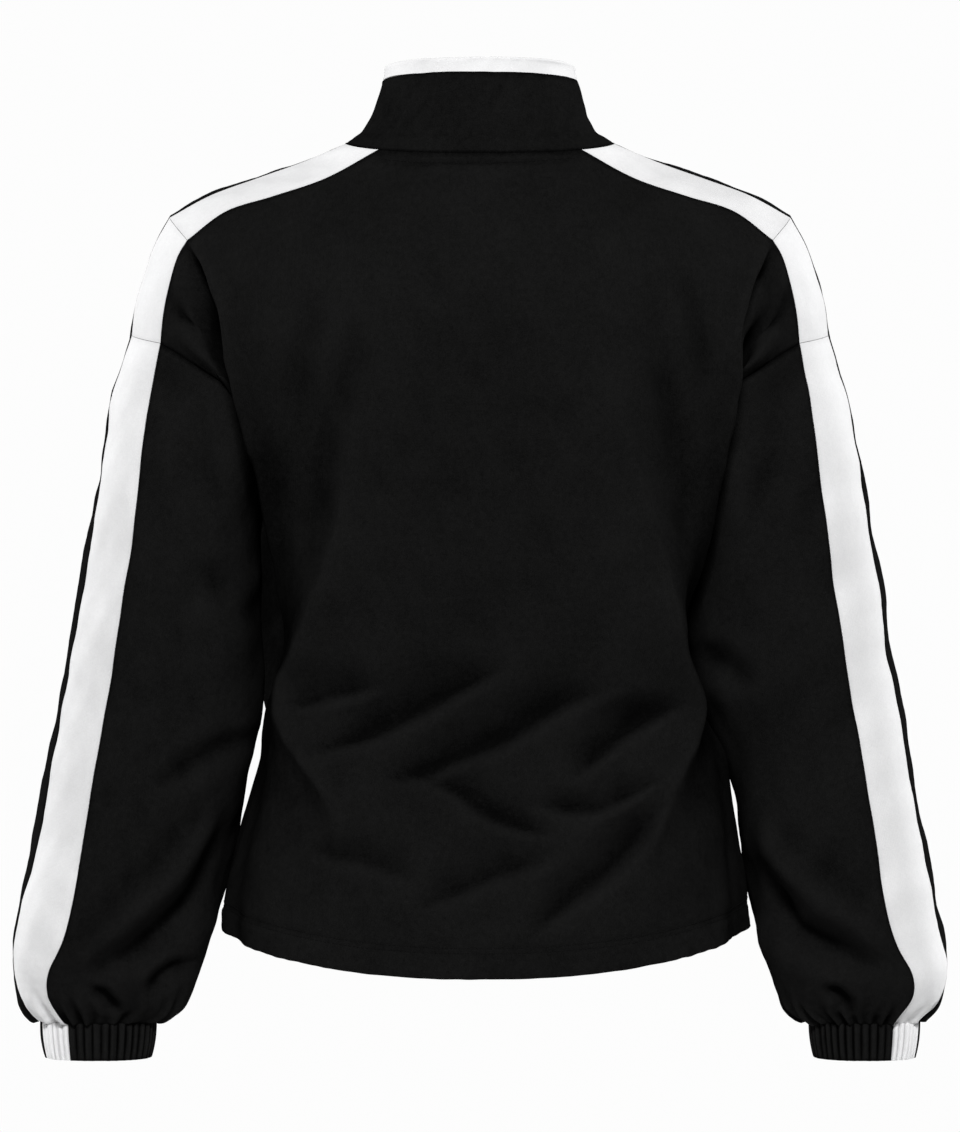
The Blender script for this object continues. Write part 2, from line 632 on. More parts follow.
def bodyPanel(face):
    # columns from left to right and rows from the hem up
    leftLines = keyLines(left, face)
    rightLines = keyLines(right, face)
    half = (*netSteps["arm"], netSteps["shoulder"], netSteps["neck"])
    steps = half + half[::-1]
    net = np.array([through(np.vstack((lhs, rhs[-2::-1])), steps)
                    for lhs, rhs in zip(leftLines, rightLines)])
    back, _, front, _ = neckAngles()
    neck = neckCurve(back if face == "back" else front[::-1], collarRings[0])
    top = np.vstack((stripeEdge(left, face)[:-1], neck, stripeEdge(right, face)[-2::-1]))
    bendFrom, bendReach = bodyRelief["topBlend"]
    share = ease((risePlaces() - bendFrom) / bendReach)
    net += (top - net[-1])[None] * share[:, None, None]
    dropHem(net)
    inward = outward(net, False) * (-1 if face == "back" else 1)
    folds = backFolds if face == "back" else frontFolds
    fade = {kind: edgeShare(net, bodyRelief[kind], True)
            for kind in ("foldFade", "cornerFade", "liftFade", "waveFade", "hemFade")}
    depth = foldDepth(net, folds) * bodyRelief["foldScale"] * fade["foldFade"]
    if face == "back":
        depth += foldDepth(net, cornerFolds) * fade["cornerFade"]
        depth -= edgeLift(net) * fade["liftFade"]
    depth += unevenness(net, bodyRelief["waves"]) * fade["waveFade"]
    height = np.linalg.norm(net - net[:1], axis=-1)
    puckers = drift(net, *bodyRelief["puckers"])
    for row in bodyRelief["stitchHeights"]:
        away = (height - row) / bodyRelief["stitchWidth"]
        depth += bodyRelief["stitchDip"] * np.exp(-away ** 2)
    turned = ease((bodyRelief["stitchHeights"][0] - height) / 3)
    depth += (turned * (bodyRelief["hemPucker"] * puckers - bodyRelief["hemDraw"])
              * fade["hemFade"])
    topstitch = bodyRelief["neckDip"] * neckBand(net, bodyRelief["neckDipWidth"])
    ridge = sum(netSteps["arm"]) + netSteps["shoulder"]
    depth[:, ridge:-ridge] += topstitch[:, ridge:-ridge]
    depth += seamDip(net, False)
    return net + inward * depth[..., None]


def neckBand(net, width):
    # 1 along the topstitching below the collar, fading to either side
    away = np.linalg.norm(net - net[-1:], axis=-1) - stitch["neckHeight"]
    return np.exp(-(away / width) ** 2)


def freshShare(net):
    # the cloth beside the arms and along the neck's stitching isn't rubbed, and stays blackest
    columns = net.shape[1]
    fold = sum(netSteps["arm"])
    ridge = fold + netSteps["shoulder"]
    column = np.arange(columns)
    fromSide = np.minimum(column, columns - 1 - column)
    level = net[..., 2]
    band = neckBand(net, bodyRelief["freshNeckWidth"])
    neck = bodyRelief["freshNeck"] * band * (fromSide > ridge)[None]
    blend = bodyRelief["freshBlend"]
    beside = (ease((ridge - 2 - fromSide) / (ridge - fold))[None]
              * ease((bodyRelief["freshTop"] - level) / blend)
              * ease((level - bodyRelief["freshBottom"]) / blend))
    return neck + bodyRelief["fresh"] * beside


def edgeLift(net):
    # how far the ridges and the armpit folds stand out at each point of the back
    columns = net.shape[1]
    fold = sum(netSteps["arm"])
    ridge = fold + netSteps["shoulder"]
    total = np.zeros(net.shape[:2])
    for column, name in ((fold, "fold"), (ridge, "ridge"), (columns - 1 - fold, "fold"),
                         (columns - 1 - ridge, "ridge")):
        away = np.linalg.norm(net - net[:, column:column + 1], axis=-1)
        height = smooth(net[:, column, 2], [row.level for row in edgeLifts],
                        [getattr(row, name) for row in edgeLifts])
        slope = (np.hypot(away / bodyRelief["edgeReach"], bodyRelief["edgeRound"])
                 - bodyRelief["edgeRound"])
        total += height[:, None] * np.exp(-slope)
    return total


def seamDip(net, ring):
    # cloth is drawn in a little where it is sewn, but not at the very edge
    fade = edgeShare(net, bodyCut["seamDipWidth"], not ring, bottom=ring)
    rim = edgeShare(net, 0.8, not ring, bottom=ring)
    return bodyCut["seamDip"] * (1 - fade) * rim


stripeRelief = {
    "crown": 4.5,                # how far a stripe stands proud of the line between its edges
    "waves": ((0.5, 30.0, 31), (0.12, 9.0, 32)),
    "fade": 10,                  # how far from the edges the waves die out
    "neckBlend": 0.2,            # share of the stripe that bends to meet the neck line
}


def stripeNet(side):
    back = stripeEdge(side, "back")
    front = stripeEdge(side, "front")
    share = np.linspace(0, 1, netSteps["stripe"] + 1)[None, :, None]
    net = back[:, None] * (1 - share) + front[:, None] * share
    along = np.gradient(back + front, axis=0)
    crown = units(np.cross(along, front - back) * -side)
    rows = np.arange(len(net))
    level = ease((len(net) - 1 - rows) / netSteps["shoulder"])[:, None, None]
    net += crown[:, None] * level * stripeRelief["crown"] * 4 * share * (1 - share)
    _, rightPart, _, leftPart = neckAngles()
    neck = neckCurve(rightPart if side == right else leftPart[::-1], collarRings[0])
    reach = netSteps["shoulder"] * stripeRelief["neckBlend"]
    blend = ease((rows - len(net) + 1 + reach) / reach)[:, None, None]
    net += (neck - net[-1])[None] * blend
    net[-1] = neck
    fade = edgeShare(net, stripeRelief["fade"], True, bottom=True)
    rise = unevenness(net, stripeRelief["waves"]) * fade
    return net + crown[:, None] * rise[..., None]


sleeveRelief = {
    "squareness": 2.3,
    "armholeShare": (0.17, 0.4),   # of the sleeve with the armhole's shape, outside and inside
    "lip": 0.08,                 # the roll of cloth beside a fold
    "waves": ((1.3, 60.0, 41), (0.5, 22.0, 42), (0.09, 7.0, 43)),
    "foldEnds": (18, 10),        # rings over which folds grow from the armhole and the cuff
    "waveEnds": (6, 4),
    "faceBlend": 12,             # how softly the back's folds give way to the front's
    "gatherDepth": 4.4,          # pleats where the sleeve is gathered into the cuff
    "gatherWaves": 19,
    "gatherSpread": 6,           # how much the layers' counts of waves differ
    "gatherLayers": 5,
    "gatherSeed": 60,
    "gatherFrom": (0.77, 0.92),  # shares of the sleeve between which they start
    "gatherFull": 1.02,          # share at which they would be deepest
    "gatherSwing": 6,            # how much they lean
}


def ringPoint(angle, outer, inner, back, front):
    # points of a sleeve ring, by the angle from its outer end, above 0 on the back
    squareness = sleeveRelief["squareness"]
    share = np.cos(angle)
    middle = (outer + inner) / 2
    reach = (outer - inner) / 2
    depth = (1 - np.abs(share) ** squareness) ** (1 / squareness)
    points = middle + reach * share[:, None]
    points[:, 1] += np.where(angle > 0, back, front) * depth
    return points


def ringEnds(ring, side):
    # a ring's outer and inner x, and the angles of its stripe's edges
    outerX = ring.outerLeft if side == left else ring.outerRight
    innerX = ring.innerLeft if side == left else ring.innerRight
    reach = (outerX - innerX) / 2
    edgeFrom = np.arccos(1 - max(ring.stripeFrom, 0.2) / reach)
    edgeTo = np.arccos(1 - ring.stripeTo / reach)
    return outerX, innerX, edgeFrom, edgeTo


def sleeveNet(side, backNet, frontNet, stripe):
    # columns run over the stripe from its front edge to its back edge, down the back and up
    # the front
    rows = netSteps["lowRows"]
    count = netSteps["sleeve"]
    edge = 0 if side == left else -1
    seamBack = backNet[:, edge][rows:][::-1]
    seamFront = frontNet[:, edge][rows:]
    armhole = np.vstack((stripe[0][::-1], seamBack[1:], seamFront[1:-1]))
    places = np.linspace(0, len(sleeveRings) - 1, count + 1)
    table = smooth(places, np.arange(len(sleeveRings)), [tuple(ring) for ring in sleeveRings])
    net = np.array([sleeveRing(Ring(*row), side) for row in table])
    along = np.linspace(0, 1, count + 1)
    across = np.abs(armhole[:, 0])
    outside = (across - across.min()) / (across.max() - across.min())
    shareOut, shareIn = sleeveRelief["armholeShare"]
    reach = shareIn + (shareOut - shareIn) * ease(outside)
    net += (armhole - net[0])[None] * (1 - ease(along[:, None] / reach[None]))[..., None]
    folds = {face: [Fold(deep, wide, [(side * x, z) for x, z in route], 0, sleeveRelief["lip"])
                    for deep, wide, route in sleeveFolds[side, face]]
             for face in ("back", "front")}
    middle = table[:, Ring._fields.index("middle")][:, None]
    offMiddle = (net[..., 1] - middle) / sleeveRelief["faceBlend"]
    backShare = ease(0.5 - offMiddle / 2)
    depth = (foldDepth(net, folds["back"]) * backShare
             + foldDepth(net, folds["front"]) * (1 - backShare))
    depth *= ringShare(along, "foldEnds")
    depth += unevenness(net, sleeveRelief["waves"], side + 1) * ringShare(along, "waveEnds")
    depth += gathers(net, along, side)
    depth += seamDip(net, True)
    inward = outward(net, True) * -side
    return net + inward * depth[..., None]


def ringShare(along, kind):
    # 0 at a sleeve's first and last ring, 1 from so many rings inwards
    first, last = sleeveRelief[kind]
    count = netSteps["sleeve"]
    return (ease(along * count / first) * ease((1 - along) * count / last))[:, None]


def gathers(net, along, side):
    # uneven pleats that run up from the cuff and die out
    columns = net.shape[1]
    turn = np.linspace(0, 2 * np.pi, columns, endpoint=False)
    random = np.random.default_rng(sleeveRelief["gatherSeed"] + side)
    total = np.zeros((len(along), columns))
    full = sleeveRelief["gatherFull"]
    spread = sleeveRelief["gatherSpread"]
    for _ in range(sleeveRelief["gatherLayers"]):
        waves = sleeveRelief["gatherWaves"] + random.integers(-spread, spread + 1)
        reach = random.uniform(*sleeveRelief["gatherFrom"])
        swing = random.uniform(-0.5, 0.5) * (along - 1)[:, None] * sleeveRelief["gatherSwing"]
        total += (np.cos(turn[None] * waves + random.uniform(0, 6.28) + swing)
                  * ease((along - reach) / (full - reach))[:, None])
    fade = ease((1 - along) / 0.012)[:, None] * 0.75 + 0.25
    return sleeveRelief["gatherDepth"] * total / 3.2 * fade


def sleeveRing(ring, side):
    outerX, innerX, edgeFrom, edgeTo = ringEnds(ring, side)
    outer = np.array((side * outerX, ring.middle, ring.outerZ))
    inner = np.array((side * innerX, ring.middle, ring.innerZ))
    over = np.linspace(edgeFrom, edgeTo, netSteps["stripe"] + 1)
    down = np.linspace(edgeTo, np.pi, netSteps["upRows"] + 1)[1:]
    up = np.linspace(-np.pi, edgeFrom, netSteps["upRows"] + 1)[1:-1]
    angle = np.concatenate((over, down, up))
    return ringPoint(angle, outer, inner, ring.back - ring.middle, ring.front - ring.middle)


cuff = {
    "height": 27.0,
    "taper": 0.92,
    "bulge": 0.015,
    "ribHeight": 3.0,
    "ribSink": 0.45,              # share of a rib that lies below the piece's line
    "whiteRibs": 6,
    "blackRibs": 36,
    "ribShift": 0.3,              # how uneven the ribs' spacing is
    "ribSizes": (0.45, 1.15),     # smallest and largest, as shares of the height
    "ribWaver": 0.48,             # how far ribs pull the edges up and down
    "ribRound": 0.8,              # below 1 the ribs are rounder and the grooves narrower
    "ribSwell": (0.12, 0.97),     # part of a half wave that a rib's height follows down the cuff
    "ribSwellPower": 0.35,
    "ribSeed": 80,
    "ribSteps": 9,
    "rows": 14,
}


def cuffNets(side):
    last = sleeveRings[-1]
    outerX, innerX, edgeFrom, edgeTo = ringEnds(last, side)
    middle = side * (outerX + innerX) / 2
    reach = side * (outerX - innerX) / 2
    random = np.random.default_rng(cuff["ribSeed"] + side)
    nets = []
    for angleFrom, angleTo, ribs in ((edgeFrom, edgeTo, cuff["whiteRibs"]),
                                     (edgeTo, edgeFrom + 2 * np.pi, cuff["blackRibs"])):
        count = ribs * cuff["ribSteps"]
        angles = np.linspace(angleFrom, angleTo, count + 1)
        turned = np.where(angles > np.pi, angles - 2 * np.pi, angles)
        phase = np.linspace(0, ribs, count + 1)
        spots = np.arange(ribs + 1)
        shift = cuff["ribShift"]
        wobble = np.interp(phase, spots, random.uniform(-shift, shift, ribs + 1))
        wobble[[0, -1]] = 0
        sizes = np.interp(phase, spots, random.uniform(*cuff["ribSizes"], ribs + 1))
        shifted = phase + wobble * np.sin(np.pi * phase) ** 2
        wave = np.abs(np.sin(np.pi * shifted)) ** cuff["ribRound"]
        rings = []
        for step in np.linspace(0, 1, cuff["rows"] + 1):
            scale = 1 - (1 - cuff["taper"]) * step + cuff["bulge"] * math.sin(step * math.pi)
            level = -cuffTop - bodyCut["seamGap"] - cuff["height"] * step
            outer = np.array((middle + reach * scale, last.middle, level))
            inner = np.array((middle - reach * scale, last.middle, level))
            points = ringPoint(turned, outer, inner, (last.back - last.middle) * scale,
                               (last.front - last.middle) * scale)
            points[:, 2] += cuff["ribWaver"] * (wave - 0.5) * sizes * (2 * step - 1)
            rings.append(points)
        swell = np.linspace(*cuff["ribSwell"], cuff["rows"] + 1)
        strength = np.sin(swell * np.pi) ** cuff["ribSwellPower"]
        height = (wave * sizes - cuff["ribSink"]) * cuff["ribHeight"]
        nets.append((np.array(rings), strength[:, None] * height[None]))
    return nets


class Sewing:
    # keeps the points that pieces share, so that their walls meet evenly along the seams
    def __init__(self):
        self.sums = {}
        self.leads = {}
        self.nets = {}

    def add(self, name, net, flip, surface, ring=False):
        normals = outward(net, ring) * (-1 if flip else 1)
        self.nets[name] = (net, normals, ring)
        for row, column, steps in self.border(net, ring):
            point = net[row, column]
            key = self.key(point)
            sums = self.sums.setdefault(key, {})
            sums[surface] = sums.get(surface, 0) + normals[row, column]
            lead = self.leads.setdefault(key, {})
            for down, over in steps:
                way = unit(net[row + down, (column + over) % net.shape[1]] - point)
                lead[surface] = lead.get(surface, 0) + way

    @staticmethod
    def key(point):
        return tuple(np.round(point, 2))

    @staticmethod
    def border(net, ring):
        rows, columns = net.shape[:2]
        for row in range(rows):
            for column in range(columns):
                steps = []
                if row == 0:
                    steps.append((1, 0))
                if row == rows - 1:
                    steps.append((-1, 0))
                if not ring and column == 0:
                    steps.append((0, 1))
                if not ring and column == columns - 1:
                    steps.append((0, -1))
                if steps:
                    yield row, column, steps

    def normals(self, name):
        net, normals, ring = self.nets[name]
        result = normals.copy()
        for row, column, _ in self.border(net, ring):
            key = self.key(net[row, column])
            sums = self.sums[key]
            lead = self.leads[key]
            total = sum(unit(normal) for normal in sums.values())
            if len(sums) == 2:
                first, second = sums
                valley = unit(sums[first]) @ lead[second] + unit(sums[second]) @ lead[first]
                total = total + (unit(lead[first]) + unit(lead[second])) * np.sign(valley)
            result[row, column] = unit(total)
        return result


def drawBack(net, normals, sewn):
    # pull sewn edges back by half the seam gap, square to the seam and to the wall
    moved = net.copy()
    for name, edge, nextTo in (("bottom", 0, 1), ("top", -1, -2)):
        if name in sewn:
            moved[edge] += seamPull(net[edge], net[nextTo], normals[edge])
    for name, edge, nextTo in (("start", 0, 1), ("end", -1, -2)):
        if name in sewn:
            moved[:, edge] += seamPull(net[:, edge], net[:, nextTo], normals[:, edge])
    return moved


def seamPull(edge, nextTo, normals):
    across = units(np.cross(np.gradient(edge, axis=0), normals))
    inwards = across * np.sign(np.sum(across * (nextTo - edge)))
    return inwards * bodyCut["seamGap"] * bodyCut["seamShare"]


def roundEdge(outer, inner, nextOuter):
    # three points round a free edge, from the outer face to the inner face
    away = outer - nextOuter
    thickness = inner - outer
    depth = np.linalg.norm(thickness, axis=-1, keepdims=True)
    away = units(away - thickness * np.sum(away * thickness, axis=-1, keepdims=True) / depth ** 2)
    return [outer + thickness * (1 - math.cos(turn)) / 2
            + away * depth * math.sin(turn) * bodyCut["rim"]
            for turn in np.radians((45, 90, 135))]


def wrapFaces(levels, columns, ring):
    # the faces of a grid whose last level meets its first, and on a ring its columns too
    wide = columns if ring else columns - 1
    level, column = np.meshgrid(np.arange(levels), np.arange(wide), indexing="ij")
    after = (level + 1) % levels
    beside = (column + 1) % columns
    quads = np.stack((level * columns + column, level * columns + beside,
                      after * columns + beside, after * columns + column), axis=-1)
    return quads.reshape(-1, 4).tolist()


pieces = {}
cuts = {}


def sewWall(name, net, normals, thickness, material, flip, ring=False, free=(), ribs=None,
            fresh=0.0):
    # a closed wall whose outer face is the net; free edges are rounded
    outer = net if ribs is None else net + normals * ribs[..., None]
    inner = net - normals * np.asarray(thickness, float)[..., None]
    rows, columns = outer.shape[:2]
    stack = list(outer)
    if "top" in free:
        stack += roundEdge(outer[-1], inner[-1], outer[-2])
    topEnd = len(stack)
    stack += list(inner[::-1])
    bottomStart = len(stack) - 1
    if "bottom" in free:
        stack += roundEdge(outer[0], inner[0], outer[1])[::-1]
    grid = np.array(stack)
    faces = wrapFaces(len(grid), columns, ring)
    if not ring:
        innerRow = bottomStart - np.arange(rows)
        caps = [[row, row + 1, innerRow[row + 1], innerRow[row]] for row in range(rows - 1)]
        if "top" in free:
            caps.append(list(range(rows - 1, topEnd + 1)))
        if "bottom" in free:
            caps.append(list(range(bottomStart, len(grid))) + [0])
        for side, turn in ((0, 1), (columns - 1, -1)):
            faces += [[int(spot) * columns + side for spot in cap][::turn] for cap in caps]
    if flip:
        faces = [face[::-1] for face in faces]
    mesh = bpy.data.meshes.new(name)
    mesh.from_pydata((grid.reshape(-1, 3) * millimetre).tolist(), [], faces)
    addClothMap(mesh, net, grid, rows, topEnd, ring)
    addRubbed(mesh, outer, normals, grid, ring, free, fresh)
    mesh.materials.append(material)
    mesh.shade_smooth()
    mesh.set_sharp_from_angle(angle=math.radians(70))
    pieces[name] = linkPiece(name, mesh)
    cuts[name] = cutSize(net, ring)


def bend(net, normals, step, ring):
    # above 0 on a ridge and below 0 in a hollow, over so many steps of the net each way
    rows, columns = net.shape[:2]
    total = np.zeros((rows, columns))
    for axis, count, wraps in ((0, rows, False), (1, columns, ring)):
        spots = np.arange(count)
        before, after = (
            net.take(at % count if wraps else at.clip(0, count - 1), axis=axis)
            for at in (spots - step, spots + step))
        span = np.maximum(np.linalg.norm(after - before, axis=-1), 1e-6)
        total += np.sum((net - (before + after) / 2) * normals, axis=-1) / span
    return total


rubbing = {
    "steps": (2, 5),             # of the net, over which a ridge or a hollow is felt
    "ridge": 0.55,
    "hollow": 1.5,
    "seam": 0.42,                # how much blacker the cloth is beside a seam
    "seamWidth": 2.8,
    "range": (-0.5, 0.12),
}


def addRubbed(mesh, outer, normals, grid, ring, free, fresh):
    # worn ridges and fresh hollows, as a number at each point of the outer face
    value = sum(0.5 * bend(outer, normals, step, ring) for step in rubbing["steps"])
    value = np.where(value > 0, rubbing["ridge"], rubbing["hollow"]) * value - fresh
    if "top" not in free:
        inside = edgeShare(outer, rubbing["seamWidth"], not ring, bottom="bottom" not in free)
        value -= rubbing["seam"] * (1 - inside)
    spread = np.zeros(grid.shape[:2])
    spread[:len(outer)] = np.clip(value, *rubbing["range"])
    layer = mesh.attributes.new("rubbed", "FLOAT", "POINT")
    layer.data.foreach_set("value", spread.ravel())


def addClothMap(mesh, net, grid, rows, topEnd, ring):
    # the knit follows the cloth: u runs across the piece and v up it, both in metres
    across = pathLength(closeNet(net, ring)[rows // 2])[:net.shape[1]]
    up = pathLength(net[:, net.shape[1] // 2])
    vRow = np.concatenate((up, np.full(topEnd - rows, up[-1]), up[::-1]))
    vRow = np.concatenate((vRow, np.zeros(len(grid) - len(vRow))))
    u = np.broadcast_to(across, grid.shape[:2]).reshape(-1)
    v = np.broadcast_to(vRow[:, None], grid.shape[:2]).reshape(-1)
    spots = np.empty(len(mesh.loops), dtype=np.int32)
    mesh.loops.foreach_get("vertex_index", spots)
    layer = mesh.uv_layers.new(name="cloth")
    layer.uv.foreach_set("vector", np.column_stack((u[spots], v[spots])).ravel() * millimetre)


def cutSize(net, ring):
    # the flat size is the cut of what shows, all round on a tube
    wide = closeNet(net, ring)
    width = np.linalg.norm(np.diff(wide, axis=1), axis=-1).sum(axis=1).max() * millimetre
    length = np.linalg.norm(np.diff(wide, axis=0), axis=-1).sum(axis=0).max() * millimetre
    area = np.linalg.norm(faceCross(wide), axis=-1).sum() / 2 * millimetre ** 2
    return round(float(width), 4), round(float(length), 4), round(float(area), 5)


def addNode(tree, kind, settings=None, values=None):
    # settings first, then the value or the link of each socket
    node = tree.nodes.new(kind)
    for name, value in (settings or {}).items():
        setattr(node, name, value)
    for name, value in (values or {}).items():
        feed(tree, node.inputs[name], value)
    return node


def feed(tree, socket, value):
    value = getattr(value, "socket", value)
    if isinstance(value, bpy.types.NodeSocket):
        tree.links.new(value, socket)
    else:
        socket.default_value = value


class Wire:
    # one socket's value in a material; the usual operators add Math nodes
    def __init__(self, paint, socket):
        self.paint = paint
        self.socket = socket

    def maths(self, operation, first, second=None):
        values = {0: first} if second is None else {0: first, 1: second}
        return self.paint.add("ShaderNodeMath", {"operation": operation}, values)

    def __add__(self, other):
        return self.maths("ADD", self, other)

    def __radd__(self, other):
        return self.maths("ADD", other, self)

    def __sub__(self, other):
        return self.maths("SUBTRACT", self, other)

    def __rsub__(self, other):
        return self.maths("SUBTRACT", other, self)

    def __mul__(self, other):
        return self.maths("MULTIPLY", self, other)

    def __rmul__(self, other):
        return self.maths("MULTIPLY", other, self)

    def __abs__(self):
        return self.maths("ABSOLUTE", self)

    def sine(self):
        return self.maths("SINE", self)


class Paint:
    # a material and the one way its nodes are added
    def __init__(self, name):
        self.material = bpy.data.materials.new(name)
        self.material.use_nodes = True
        self.tree = self.material.node_tree
        self.shader = self.tree.nodes["Principled BSDF"]

    def add(self, kind, settings=None, values=None, out=0):
        return Wire(self, addNode(self.tree, kind, settings, values).outputs[out])

    def noise(self, place, scale, detail, roughness):
        return self.add("ShaderNodeTexNoise", values={"Vector": place, "Scale": scale,
                                                      "Detail": detail, "Roughness": roughness})

    def blend(self, share, first, second):
        return self.add("ShaderNodeMix", {"data_type": "RGBA"}, {0: share, 6: first, 7: second},
                        out=2)

    def bump(self, strength, distance, height):
        return self.add("ShaderNodeBump", values={"Strength": strength, "Distance": distance,
                                                  "Height": height})

    def set(self, values):
        for name, value in values.items():
            feed(self.tree, self.shader.inputs[name], value)


knit = {
    "waleWidth": 0.00125,        # one column of knit loops, in metres
    "courseHeight": 0.0010,
    "fibre": (1500.0, 2.0, 0.6),   # scale, detail and roughness of each unevenness
    "fluff": (260.0, 4.0, 0.62),
    "patches": (16.0, 3.0, 0.55),
    "relief": 0.00035,
    "black": ((0.0020, 0.0020, 0.0020, 1), (0.0094, 0.0094, 0.0093, 1)),   # darkest, lightest
    "white": ((0.615, 0.615, 0.62, 1), (0.73, 0.73, 0.735, 1)),
    "thread": ((0.003, 0.003, 0.003, 1), (0.008, 0.008, 0.008, 1)),
}


def knitCloth(name, tones, bump, sheen, roughness, wear):
    # matt jersey: rows of small V loops, a fine fibre grain, soft mottling, and ridges that are
    # rubbed a little lighter than the hollows
    paint = Paint(name)
    place = paint.add("ShaderNodeTexCoord", out="Object")
    cloth = paint.add("ShaderNodeUVMap", {"uv_map": "cloth"})
    u = paint.add("ShaderNodeSeparateXYZ", values={0: cloth}, out=0)
    v = paint.add("ShaderNodeSeparateXYZ", values={0: cloth}, out=1)
    slant = abs((u * (2 * math.pi / knit["waleWidth"]) * 0.5).sine())
    loops = (v * (2 * math.pi / knit["courseHeight"]) + slant * 2.4).sine()
    fibre = paint.noise(place, *knit["fibre"])
    fluff = paint.noise(place, *knit["fluff"])
    patches = paint.noise(place, *knit["patches"])
    rubbed = paint.add("ShaderNodeAttribute", {"attribute_name": "rubbed"}, out=2)
    tone = fibre * 1.3 + fluff * 0.6 + patches * 0.5 + slant * 0.03 + rubbed * wear - 0.66
    height = loops * 0.12 + slant * 0.2 + fibre * 0.7 + fluff * 0.9
    paint.set({"Base Color": paint.blend(tone, *tones), "Roughness": roughness - 0.08 * patches,
               "Normal": paint.bump(bump, knit["relief"], height), "Specular IOR Level": 0.0,
               "Sheen Weight": sheen, "Sheen Roughness": 0.5})
    return paint.material


def threadCloth():
    paint = Paint("black_thread")
    place = paint.add("ShaderNodeTexCoord", out="Object")
    strands = paint.noise(place, 3000.0, 2.0, 0.5)
    paint.set({"Base Color": paint.blend(strands, *knit["thread"]),
               "Roughness": 0.72 + 0.1 * strands, "Normal": paint.bump(0.4, 0.0002, strands),
               "Specular IOR Level": 0.02})
    return paint.material


blackKnit = knitCloth("black_jersey", knit["black"], bump=0.5, sheen=0.0, roughness=0.95, wear=1.1)
blackRib = knitCloth("black_rib", knit["black"], bump=0.5, sheen=0.0, roughness=0.95, wear=1.5)
whiteKnit = knitCloth("white_jersey", knit["white"], bump=0.3, sheen=0.02, roughness=0.9, wear=0.9)
blackThread = threadCloth()
print("materials ready")


def makeGarment():
    sewing = Sewing()
    body = {face: bodyPanel(face) for face in ("back", "front")}
    stripes = {side: stripeNet(side) for side in (left, right)}
    sleeves = {side: sleeveNet(side, body["back"], body["front"], stripes[side])
               for side in (left, right)}
    cuffs = {side: cuffNets(side) for side in (left, right)}
    collar = collarNet(collarRings, "collar")
    band = collarNet(bandRings, "collar_band")
    print("nets worked out")

    sewing.add("back", body["back"], False, "body")
    sewing.add("front", body["front"], True, "body")
    sewing.add("collar", collar, False, "collar", ring=True)
    sewing.add("collar_band", band, False, "collar", ring=True)
    for side in (left, right):
        mirrored = side == left
        label = "l" if mirrored else "r"
        sewing.add(f"stripe_{label}", stripes[side], mirrored, "body")
        sewing.add(f"sleeve_{label}", sleeves[side], mirrored, "sleeve", ring=True)
        for part, (net, _) in zip(("white", "black"), cuffs[side]):
            sewing.add(f"cuff_{part}_{label}", net, mirrored, "cuff")

    for face, flip in (("back", False), ("front", True)):
        net = body[face]
        normals = sewing.normals(face)
        height = np.linalg.norm(net - net[:1], axis=-1)
        extra = bodyCut["hemCloth"] - bodyCut["cloth"]
        wall = bodyCut["cloth"] + extra * ease((bodyCut["hemTurn"] - height) / 3)
        drawn = drawBack(net, normals, ("top", "start", "end"))
        sewWall(f"{face}_panel", drawn, normals, wall, blackKnit, flip, free=("bottom",),
                fresh=freshShare(net))
    print("body sewn")

    for side in (left, right):
        makeArm(sewing, side, stripes[side], sleeves[side], cuffs[side])
    print("sleeves, stripes and cuffs sewn")

    for name, net, sewn, free, material in (
            ("collar", collar, ("bottom", "top"), (), blackKnit),
            ("collar_band", band, ("bottom",), ("top",), whiteKnit)):
        normals = sewing.normals(name)
        drawn = drawBack(net, normals, sewn)
        sewWall(f"{name}_knit", drawn, normals, np.full(net.shape[:2], collarCut["cloth"]),
                material, False, ring=True, free=free, fresh=0.1)
    print("collar sewn")
    return body


collarCut = {
    "cloth": 2.6,
    "waves": ((0.8, 46.0, 71), (0.25, 13.0, 72)),
    "roll": 1.3,                 # the turned edge above the neck seam
    "rollHeight": 9,
    "rollWidth": 3.5,
    "dents": ((-69, 20, 3.0, 10), (71, 18, 3.0, 10)),   # x, z, depth and width
    "dentTall": 1.6,
    "dentFront": 10,             # dents lie behind this y
    "calm": ((0, 14), (56, 4)),  # bottom and top level that stay even, and how far inwards
}


def collarNet(table, kind):
    angles = np.concatenate([part[:-1] for part in neckAngles()])
    extra = netSteps["collarRow"]
    places = np.linspace(0, len(table) - 1, (len(table) - 1) * extra + 1)
    rings = smooth(places, np.arange(len(table)), [tuple(ring) for ring in table])
    net = np.array([neckCurve(angles, CollarRing(*ring)) for ring in rings])
    rise = rings[:, CollarRing._fields.index("sideZ")][:, None]
    (bottomLevel, bottomReach), (topLevel, topReach) = collarCut["calm"]
    fade = ease((rise - bottomLevel) / bottomReach) * ease((topLevel - rise) / topReach)
    depth = unevenness(net, collarCut["waves"])
    for x, z, deep, width in collarCut["dents"]:
        tall = width * collarCut["dentTall"]
        near = ((net[..., 0] - x) / width) ** 2 + ((net[..., 2] - z) / tall) ** 2
        depth += deep * np.exp(-near) * (net[..., 1] < collarCut["dentFront"])
    depth *= fade
    if kind == "collar":
        depth[-1] = 0
        bottom = np.linalg.norm(net - net[:1], axis=-1)
        away = (bottom - collarCut["rollHeight"]) / collarCut["rollWidth"]
        depth -= collarCut["roll"] * np.exp(-away ** 2) * fade.clip(0.4)
        depth += bodyCut["seamDip"] * (1 - ease(bottom / 3)) * ease(bottom / 0.8)
    return net - outward(net, True) * depth[..., None]


